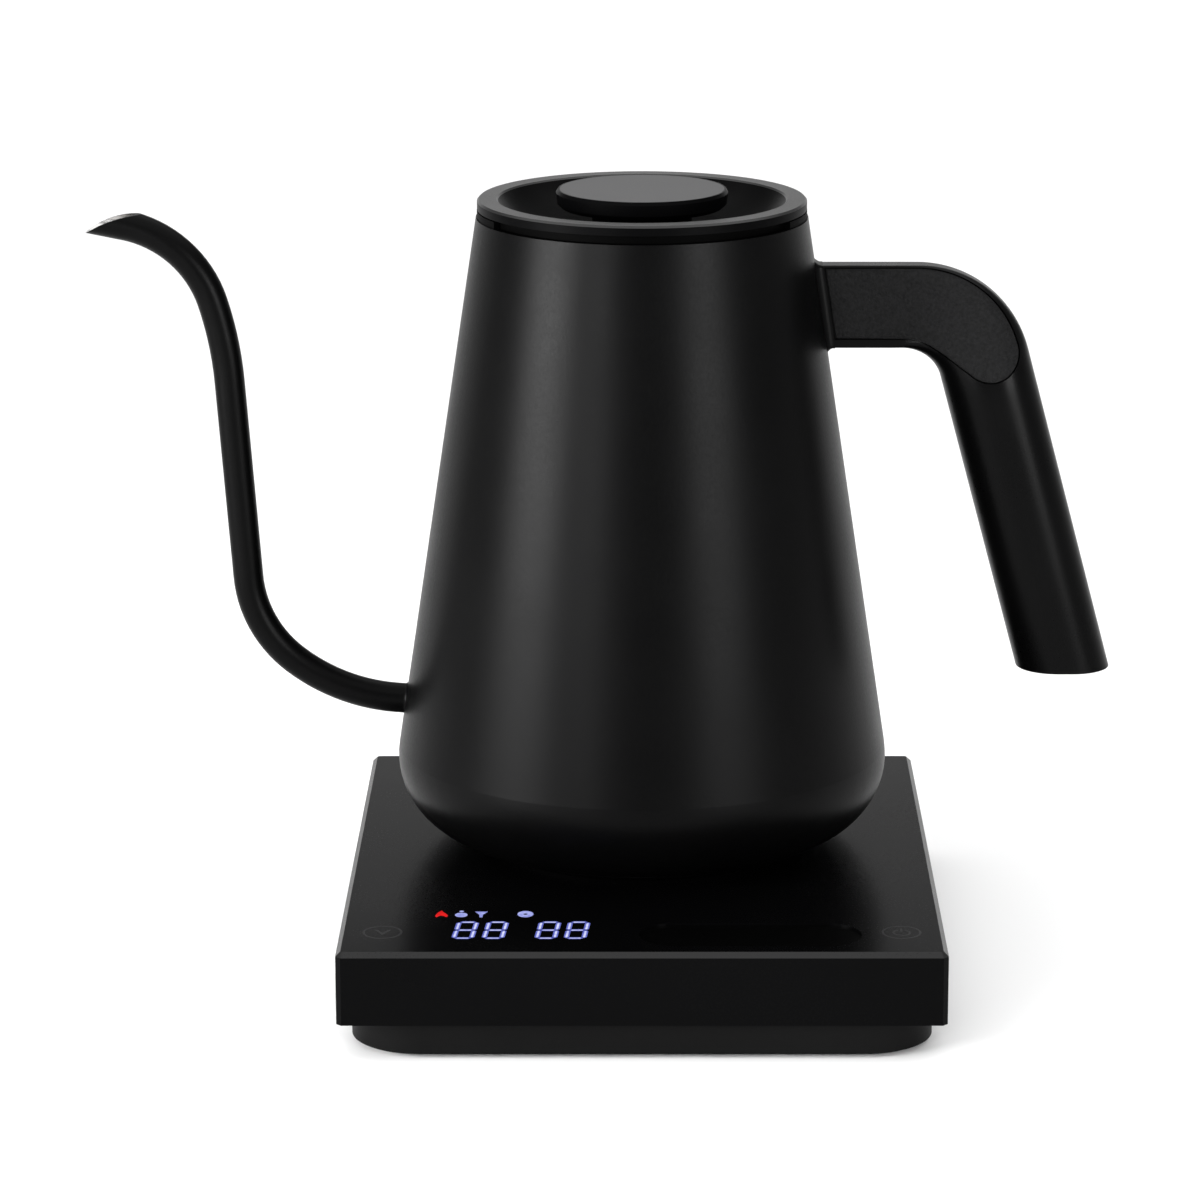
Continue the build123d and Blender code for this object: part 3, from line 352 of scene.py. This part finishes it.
def make_materials():
    """One material for each slot of the record, under the slot's name.

    The slots lid_plastic, cover_top and digit_light each have a second material on some faces:
    the painted highlights lid_rim and cover_edge, and digit_core.
    """
    moulded("body_coating", (0.0009, 0.0009, 0.00095), 0.36, 1500, 0.03 * MM,
            specular=0.055, cloud=40.0)
    moulded("cover_top", (0.0010, 0.0010, 0.0011), 0.25, 2200, 0.012 * MM, specular=0.035)
    # Painted highlight on the base's edge cut: twice the black of cover_top and far glossier.
    moulded("cover_edge", (0.0020, 0.0020, 0.0021), 0.3, 2200, 0.012 * MM, specular=0.3)
    moulded("tray_plastic", (0.003, 0.003, 0.003), 0.5, 1800, 0.04 * MM, specular=0.06)
    moulded("handle_plastic", (0.0009, 0.0009, 0.00095), 0.30, 2000, 0.015 * MM, specular=0.065)
    moulded("pad_rubber", (0.0055, 0.0055, 0.0057), 0.75, 1500, 0.8 * MM,
            specular=0.1, tint=0.45, cloud=1300)
    moulded("collar_plastic", (0.0008, 0.0008, 0.0008), 0.5, 1800, 0.03 * MM, specular=0.01)
    # lid_plastic and lid_rim are lit and shaded copies of the lid's black: the rim's far higher gloss
    # is a painted highlight, and the low gloss elsewhere keeps the dish dark as painted shade.
    moulded("lid_plastic", (0.0010, 0.0010, 0.0011), 0.36, 2000, 0.02 * MM, specular=0.02)
    moulded("lid_rim", (0.0010, 0.0010, 0.0011), 0.36, 2000, 0.02 * MM, specular=0.5)
    turned_top("knob_grey", (0.085, 0.085, 0.086), 0.55)
    brushed("bare_steel", (0.62, 0.61, 0.6), 0.27)
    brushed("contacts", (0.72, 0.5, 0.28), 0.3)
    moulded("spreader", (0.7, 0.7, 0.71), 0.45, 1200, 0.05 * MM, metallic=1.0)
    moulded("element", (0.3, 0.3, 0.29), 0.55, 900, 0.05 * MM, metallic=0.8)
    moulded("seal_silicone", (0.09, 0.09, 0.09), 0.6, 1500, 0.03 * MM, specular=0.4)
    moulded("foot_rubber", (0.012, 0.012, 0.012), 0.8, 1600, 0.08 * MM, specular=0.2)
    moulded("connector_plastic", (0.012, 0.012, 0.012), 0.42, 1500, 0.03 * MM, specular=0.35)
    moulded("circuit_board", (0.01, 0.07, 0.03), 0.4, 1200, 0.03 * MM, cloud=120.0, tint=0.3)
    moulded("component_plastic", (0.03, 0.03, 0.035), 0.5, 1500, 0.03 * MM)
    moulded("lead_insulation", (0.35, 0.34, 0.3), 0.5, 1500, 0.03 * MM)
    moulded("touch_foam", (0.05, 0.05, 0.05), 0.9, 1500, 0.1 * MM, specular=0.1)
    moulded("gland_rubber", (0.01, 0.01, 0.01), 0.65, 1600, 0.05 * MM, specular=0.25)
    moulded("slider_gloss", (0.0008, 0.0008, 0.0008), 0.2, 1500, 0.006 * MM, specular=0.05)
    moulded("key_print", (0.008, 0.008, 0.0085), 0.4, 2500, 0.02 * MM, specular=0.1)
    glowing("digit_light", (0.10, 0.12, 0.50), (0.17, 0.20, 0.64), 1.0)
    glowing("digit_core", (0.50, 0.54, 0.95), (0.78, 0.80, 1.0), 1.0)
    glowing("icon_light", (0.22, 0.25, 0.68), (0.46, 0.5, 0.92), 1.0)
    glowing("flame_light", (0.6, 0.006, 0.006), (0.85, 0.012, 0.01), 1.0)


def dress_nodes():
    """Gives each CAD node the material that is named after its slot."""
    slots = {m["slot"] for m in frame["record"]["materials"]}
    for node in frame["nodes"].values():
        for index, old in enumerate(node.data.materials):
            slot = next(s for s in sorted(slots, key=len, reverse=True) if old.name.startswith(s))
            node.data.materials[index] = made_materials[slot]


# Mesh pieces


def make_piece(name, points, faces, slot, sharp=HARD_EDGE):
    """A smooth-shaded mesh object in the material of `slot`."""
    mesh = bpy.data.meshes.new(name)
    mesh.from_pydata([tuple(p) for p in points], [], faces)
    mesh.materials.append(made_materials[slot])
    finish_mesh(mesh, sharp)
    piece = bpy.data.objects.new(name, mesh)
    bpy.context.scene.collection.objects.link(piece)
    return piece


def finish_mesh(mesh, sharp):
    """Turns every face outwards, and shades it smooth with edges over `sharp` degrees left hard."""
    work = bmesh.new()
    work.from_mesh(mesh)
    bmesh.ops.remove_doubles(work, verts=work.verts, dist=MERGE)
    bmesh.ops.recalc_face_normals(work, faces=work.faces)
    work.to_mesh(mesh)
    work.free()
    mesh.shade_smooth()
    mesh.set_sharp_from_angle(angle=math.radians(sharp))


def smooth_step(value):
    """Rises from 0 to 1 with a soft start and end."""
    value = min(max(value, 0.0), 1.0)
    return value * value * (3 - 2 * value)


def blend(a, b, share):
    """The number at `share` of the way from `a` to `b`."""
    return a + (b - a) * share


def rounded_ring(inner, outer, half_depth, radius, corner_steps=10):
    """A rounded rectangle from `inner` to `outer`, two (x, z) points, and `half_depth` to each
    side of Y = 0."""
    half = math.dist(inner, outer) / 2
    radius = min(radius, half, half_depth)
    flat_x, flat_y = half - radius, half_depth - radius
    middle = ((inner[0] + outer[0]) / 2, (inner[1] + outer[1]) / 2)
    along = ((outer[0] - inner[0]) / (2 * half), (outer[1] - inner[1]) / (2 * half))
    corners = [(flat_x, flat_y, 0), (-flat_x, flat_y, 90),
               (-flat_x, -flat_y, 180), (flat_x, -flat_y, 270)]
    shares_of_flat = (0.04, 0.27, 0.5, 0.73, 0.96)
    outline = []
    for index, (x, y, first) in enumerate(corners):
        for step in range(corner_steps + 1):
            turn = math.radians(first + 90 * step / corner_steps)
            outline.append((x + radius * math.cos(turn), y + radius * math.sin(turn)))
        after = corners[(index + 1) % 4]
        turn = math.radians(first + 90)
        start = outline[-1]
        end = (after[0] + radius * math.cos(turn), after[1] + radius * math.sin(turn))
        for share in shares_of_flat:
            outline.append((blend(start[0], end[0], share), blend(start[1], end[1], share)))
    return [Vector((middle[0] + u * along[0], y, middle[1] + u * along[1])) for u, y in outline]


def loft(loops):
    """Points and faces of the closed solid that runs through `loops`, rings of equally many points."""
    count = len(loops[0])
    points = [p for loop in loops for p in loop]
    faces = [tuple(range(count)), tuple(range((len(loops) - 1) * count, len(loops) * count))]
    for ring in range(len(loops) - 1):
        for side in range(count):
            after = (side + 1) % count
            faces.append((ring * count + side, ring * count + after,
                          (ring + 1) * count + after, (ring + 1) * count + side))
    return points, faces


def leaned(x, z):
    """A point of the neck at (x, z), moved with the body's slope below the neck's top edge."""
    return (x + (NECK_HIGH - z) * math.tan(SLOPE), z)


def on_arc(centre, radius, angle):
    """The (x, z) point of a circle at `angle` above +X."""
    return (centre[0] + radius * math.cos(angle), centre[1] + radius * math.sin(angle))


def handle_stations():
    """Pairs of (inner, outer) edge points from the body to the grip's end."""
    root = (leaned(FRAME_X, NECK_LOW), (FRAME_X, NECK_HIGH))
    neck_steps, elbow_steps, grip_steps = 12, 30, 34
    stations = []
    for step in range(neck_steps):
        share = step / neck_steps
        stations.append(((blend(root[0][0], INNER_CENTRE[0], share), NECK_LOW),
                         (blend(root[1][0], OUTER_CENTRE[0], share), NECK_HIGH)))
    for step in range(elbow_steps + 1):
        angle = blend(math.pi / 2, GRIP_LEAN, step / elbow_steps)
        stations.append((on_arc(INNER_CENTRE, ELBOW_IN, angle),
                         on_arc(OUTER_CENTRE, ELBOW_OUT, angle)))
    last_inner, last_outer = stations[-1]
    inner_end = (last_inner[0] + (last_inner[1] - GRIP_END) * math.tan(GRIP_LEAN), GRIP_END)
    outer_end = (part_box("handle_frame")[1].x, GRIP_END)
    for step in range(1, grip_steps + 1):
        share = step / grip_steps
        stations.append(tuple((blend(top[0], end[0], share), blend(top[1], end[1], share))
                              for top, end in ((last_inner, inner_end), (last_outer, outer_end))))
    return stations


def handle_rings():
    """The handle's cross-sections: a flat, sharp-edged neck that swells into an oval grip."""
    rings, travel, before = [], 0.0, None
    for inner, outer in handle_stations():
        middle = ((inner[0] + outer[0]) / 2, (inner[1] + outer[1]) / 2)
        travel += math.dist(middle, before) if before else 0.0
        before = middle
        swell = smooth_step((travel - SWELL_FROM) / SWELL_OVER)
        rings.append((inner, outer, blend(NECK_DEPTH, GRIP_DEPTH, swell),
                      blend(NECK_ROUND, GRIP_ROUND, swell)))
    return rings


def handle_shell():
    """Points and faces of the closed handle: its outside, and the hollow in its lower end."""
    rings = handle_rings()
    loops = [rounded_ring(*ring) for ring in rings]
    inner, outer, depth, radius = rings[-1]
    for rise in (0.0, GRIP_HOLLOW):
        shift = rise * math.tan(GRIP_LEAN)
        low_in = (inner[0] + GRIP_WALL - shift, inner[1] + rise)
        low_out = (outer[0] - GRIP_WALL - shift, outer[1] + rise)
        loops.append(rounded_ring(low_in, low_out, depth - GRIP_WALL, radius - GRIP_WALL))
    return loft(loops)


def pad_outline(margin):
    """The pad's outline in (x, z), `margin` further out: along the neck's top, round the elbow and
    the toe, and back in a curve to the neck's lower edge."""
    top, bottom = NECK_HIGH - PAD_INSET_TOP + margin, NECK_LOW + PAD_INSET_LOW - margin
    left = PAD_X - margin
    outline = [(left + (NECK_HIGH - z) * math.tan(SLOPE), z) for z in (bottom, (top + bottom) / 2, top)]
    for step in range(PAD_STEPS + 1):
        share = step / PAD_STEPS
        inset = blend(PAD_INSET_TOP, PAD_INSET_TOE, share ** 2)
        edge = ELBOW_OUT - inset + margin
        outline.append(on_arc(OUTER_CENTRE, edge, blend(math.pi / 2, TOE_FIRST, share)))
    toe_radius = TOE_RADIUS + margin
    toe_centre = on_arc(OUTER_CENTRE, edge - toe_radius, TOE_FIRST)
    for step in range(1, PAD_STEPS + 1):
        angle = blend(TOE_FIRST, TOE_LAST, step / PAD_STEPS)
        outline.append(on_arc(toe_centre, toe_radius, angle))
    start = outline[-1]
    elbow_in = (PAD_ELBOW_X, bottom)
    heading = (math.sin(TOE_LAST), -math.cos(TOE_LAST))
    start_pull = 0.55 * math.dist(start, elbow_in)
    end_pull = 0.35 * start_pull
    poles = (start, (start[0] + start_pull * heading[0], start[1] + start_pull * heading[1]),
             (elbow_in[0] + end_pull, elbow_in[1]), elbow_in)
    for step in range(1, PAD_STEPS + 1):
        share = step / PAD_STEPS
        rest = 1 - share
        weights = (rest ** 3, 3 * rest ** 2 * share, 3 * rest * share ** 2, share ** 3)
        outline.append(tuple(sum(w * p[axis] for w, p in zip(weights, poles)) for axis in (0, 1)))
    return outline


def inward(outline, amount):
    """The outline drawn in by `amount`. It runs clockwise as seen from the front."""
    sharpest = 0.5
    drawn = []
    for index, point in enumerate(outline):
        before, after = outline[index - 1], outline[(index + 1) % len(outline)]
        first = Vector((point[0] - before[0], point[1] - before[1])).normalized()
        second = Vector((after[0] - point[0], after[1] - point[1])).normalized()
        normal = Vector((first.y + second.y, -first.x - second.x))
        normal.normalize()
        normal /= max(normal.dot(Vector((first.y, -first.x))), sharpest)
        drawn.append((point[0] + normal.x * amount, point[1] + normal.y * amount))
    return drawn


def fill_outline(rims, spacing):
    """Triangulates the area inside the first of the nested outlines `rims`, with a grid of points
    inside the last."""
    points, edges = [], []
    for rim in rims:
        first = len(points)
        points += [Vector(p) for p in rim]
        edges += [(first + i, first + (i + 1) % len(rim)) for i in range(len(rim))]
    low = [min(p[axis] for p in rims[0]) for axis in (0, 1)]
    high = [max(p[axis] for p in rims[0]) for axis in (0, 1)]
    columns, rows = (int((high[axis] - low[axis]) / spacing) for axis in (0, 1))
    for column in range(1, columns + 1):
        for row in range(1, rows + 1):
            spot = Vector((low[0] + column * spacing,
                           low[1] + (row + 0.5 * (column % 2)) * spacing))
            if well_inside(spot, rims[-1], 0.5 * spacing):
                points.append(spot)
    rim_face = [tuple(range(len(rims[0])))]
    made = delaunay_2d_cdt(points, edges, rim_face, 1, 1e-7)
    return made[0], made[2]


def well_inside(spot, outline, gap):
    """True if `spot` is inside the outline and at least `gap` from its corners."""
    inside = False
    for index, b in enumerate(outline):
        a = outline[index - 1]
        if (spot[0] - b[0]) ** 2 + (spot[1] - b[1]) ** 2 < gap ** 2:
            return False
        if (a[1] > spot[1]) != (b[1] > spot[1]):
            if spot[0] < a[0] + (b[0] - a[0]) * (spot[1] - a[1]) / (b[1] - a[1]):
                inside = not inside
    return inside


def front_depth(tree, spot):
    """Y of the handle's front surface at (x, z)."""
    well_in_front = -40 * MM
    return tree.ray_cast(Vector((spot[0], well_in_front, spot[1])), Vector((0, 1, 0)))[0].y


def flat_key(point):
    """Says the same for an (x, z) point before and after the triangulation."""
    return round(point[0] * 1e7), round(point[1] * 1e7)


def draped_solid(tree, rims, lifts, under, spacing, side):
    """A solid over the handle's front (`side` 1) or back (-1). Each rim is lifted off the surface
    by its own amount, the middle by the last one, and the underside lies `under` below it."""
    flat, faces = fill_outline(rims, spacing)
    count = len(flat)
    top, low = [], []
    lift_of = {flat_key(p): lift for rim, lift in zip(rims, lifts) for p in rim}
    for p in flat:
        surface = front_depth(tree, p)
        lift = lift_of.get(flat_key(p), lifts[-1])
        top.append(Vector((p[0], side * (surface - lift), p[1])))
        low.append(Vector((p[0], side * (surface + under), p[1])))
    solid = [tuple(f) for f in faces] + [tuple(i + count for i in reversed(f)) for f in faces]
    uses = {}
    for face in faces:
        for i, a in enumerate(face):
            b = face[(i + 1) % len(face)]
            uses.setdefault((min(a, b), max(a, b)), []).append((a, b))
    for (a, b), *others in uses.values():
        if not others:
            solid.append((a, a + count, b + count, b))
    return top + low, solid


def cut_away(piece, cutter):
    """Cuts `cutter` out of `piece`, then removes it."""
    change = piece.modifiers.new("cut", "BOOLEAN")
    change.operation = "DIFFERENCE"
    change.solver = "EXACT"
    change.object = cutter
    bpy.context.view_layer.update()
    graph = bpy.context.evaluated_depsgraph_get()
    cut = bpy.data.meshes.new_from_object(piece.evaluated_get(graph))
    piece.modifiers.clear()
    piece.data = cut
    bpy.data.objects.remove(cutter)
    finish_mesh(cut, HARD_EDGE)


def cone_radius(height):
    """Radius of the body's outside at a height."""
    return CONE_FOOT_RADIUS - (height - CONE_FOOT_HEIGHT) * math.tan(SLOPE)


def make_bracket_weld():
    """The blend between the body and the handle's flat end. It flares out onto the cone."""
    loops = []
    for step in range(WELD_STEPS + 1):
        share = step / WELD_STEPS
        grown = WELD_FLARE * share ** WELD_CURVE
        low, high = (0.0, NECK_LOW - grown), (0.0, NECK_HIGH + grown)
        ring = rounded_ring(low, high, NECK_DEPTH + grown, NECK_ROUND + grown)
        loop = []
        for p in ring:
            on_handle = leaned(FRAME_X + WELD_IN_HANDLE, p.z)[0]
            on_body = math.sqrt(cone_radius(p.z) ** 2 - p.y ** 2) - WELD_IN_BODY
            loop.append(Vector((blend(on_handle, on_body, share), p.y, p.z)))
        loops.append(loop)
    weld = make_piece("bracket_weld", *loft(loops), "body_coating")
    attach(weld, "kettle")


def split_finish_and_highlight(node, name, body, slot, other, chooses):
    """Stands in for a CAD node: the same surface, with the material `other` on the faces that
    `chooses` picks: bare steel in the spout and body, painted highlights on the lid and the base."""
    mesh = frame["nodes"][node].data.copy()
    mesh.materials.clear()
    mesh.materials.append(made_materials[slot])
    mesh.materials.append(made_materials[other])
    for face in mesh.polygons:
        face.material_index = int(chooses(face))
    piece = bpy.data.objects.new(name, mesh)
    bpy.context.scene.collection.objects.link(piece)
    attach(piece, body)
    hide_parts(node)


def in_mouth(face):
    """True for the inside of the spout's last straight length."""
    back = face.center - LIP_CENTRE
    along = back.dot(OUTLET_AIM)
    outward = (back - along * OUTLET_AIM).normalized()
    return along > -MOUTH_LENGTH and face.normal.dot(outward) < -0.3


def in_body(face):
    """True for the inside of the body: bare steel above the foot of the cone."""
    radius = math.hypot(face.center.x, face.center.y)
    facing_in = face.normal.x * face.center.x + face.normal.y * face.center.y < 0
    within_wall = radius < cone_radius(face.center.z) - WALL / 2
    return facing_in and within_wall and face.center.z > CORNER_HEIGHT


def on_lid_rim(face):
    """True for the flat rim round the lid's dish, and the rounding on each side of it: the faces with
    the painted highlight.
    """
    return face.center.z > LID_TOP - RIM_ROUNDING and face.normal.z > 0.35


def on_cover_edge(face):
    """True for the cut along the base's top edges, which gets the painted highlight."""
    return 0.5 < face.normal.z < 0.9 and face.center.z > PLATE_TOP - EDGE_CUT


def make_split_finishes_and_highlights():
    """Bare steel inside spout and body, and painted highlights on the lid's rim and the base's edge
    cut.
    """
    split_finish_and_highlight("spout_tube", "spout_skin", "kettle", "body_coating", "bare_steel", in_mouth)
    split_finish_and_highlight("kettle_shell", "kettle_skin", "kettle", "body_coating", "bare_steel", in_body)
    split_finish_and_highlight("lid_top", "lid_skin", "lid", "lid_plastic", "lid_rim", on_lid_rim)
    split_finish_and_highlight("base_cover", "cover_skin", "base", "cover_top", "cover_edge", on_cover_edge)


def make_digits():
    """The display's lit bars, each with a brighter line along its middle."""
    mesh = frame["nodes"]["display_digits"].data.copy()
    mesh.materials.clear()
    mesh.materials.append(made_materials["digit_light"])
    mesh.materials.append(made_materials["digit_core"])
    work = bmesh.new()
    work.from_mesh(mesh)
    bmesh.ops.remove_doubles(work, verts=work.verts, dist=MERGE)
    bmesh.ops.dissolve_limit(work, angle_limit=math.radians(1), verts=work.verts, edges=work.edges)
    tops = [face for face in work.faces if face.normal.z > 0.9]
    bmesh.ops.inset_individual(work, faces=tops, thickness=CORE_INSET, use_even_offset=True)
    for face in tops:
        face.material_index = 1
    work.to_mesh(mesh)
    work.free()
    mesh.shade_flat()
    digits = bpy.data.objects.new("digit_bars", mesh)
    bpy.context.scene.collection.objects.link(digits)
    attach(digits, "base")
    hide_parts("display_digits")


def make_handle():
    """The handle's frame with a shallow pocket on each side, and the rubber pad in each pocket."""
    shell = handle_shell()
    tree = BVHTree.FromPolygons(*shell)
    handle = make_piece("handle_loft", *shell, "handle_plastic")
    edge = pad_outline(0.0)
    rims = [edge, inward(edge, 0.12 * MM), inward(edge, 0.32 * MM)]
    rounding = [PAD_PROUD - 0.2 * MM, PAD_PROUD - 0.05 * MM, PAD_PROUD]
    under = POCKET_DEPTH - 0.05 * MM
    cutter_lift, cutter_spacing, pad_spacing = 2 * MM, 1.5 * MM, 0.9 * MM
    for side, name, node in ((1, "pad_skin_front", "handle_pad_front"),
                             (-1, "pad_skin_rear", "handle_pad_rear")):
        hole = draped_solid(tree, [pad_outline(PAD_GROOVE)], [cutter_lift], POCKET_DEPTH,
                            cutter_spacing, side)
        cut_away(handle, make_piece("cutter", *hole, "handle_plastic"))
        skin = draped_solid(tree, rims, rounding, under, pad_spacing, side)
        pad = make_piece(name, *skin, "pad_rubber", sharp=50)
        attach(pad, "kettle")
        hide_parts(node)
    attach(handle, "kettle")
    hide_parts("handle_frame")


old_materials = set(bpy.data.materials)
for old_material in old_materials:
    old_material.name += ".cad"
make_camera()
make_world(0.26)
make_floor()
make_lights()
make_materials()
made_materials = {m.name: m for m in bpy.data.materials if m not in old_materials}
dress_nodes()
make_handle()
make_bracket_weld()
make_split_finishes_and_highlights()
make_digits()

bpy.context.scene.view_settings.view_transform = "Standard"
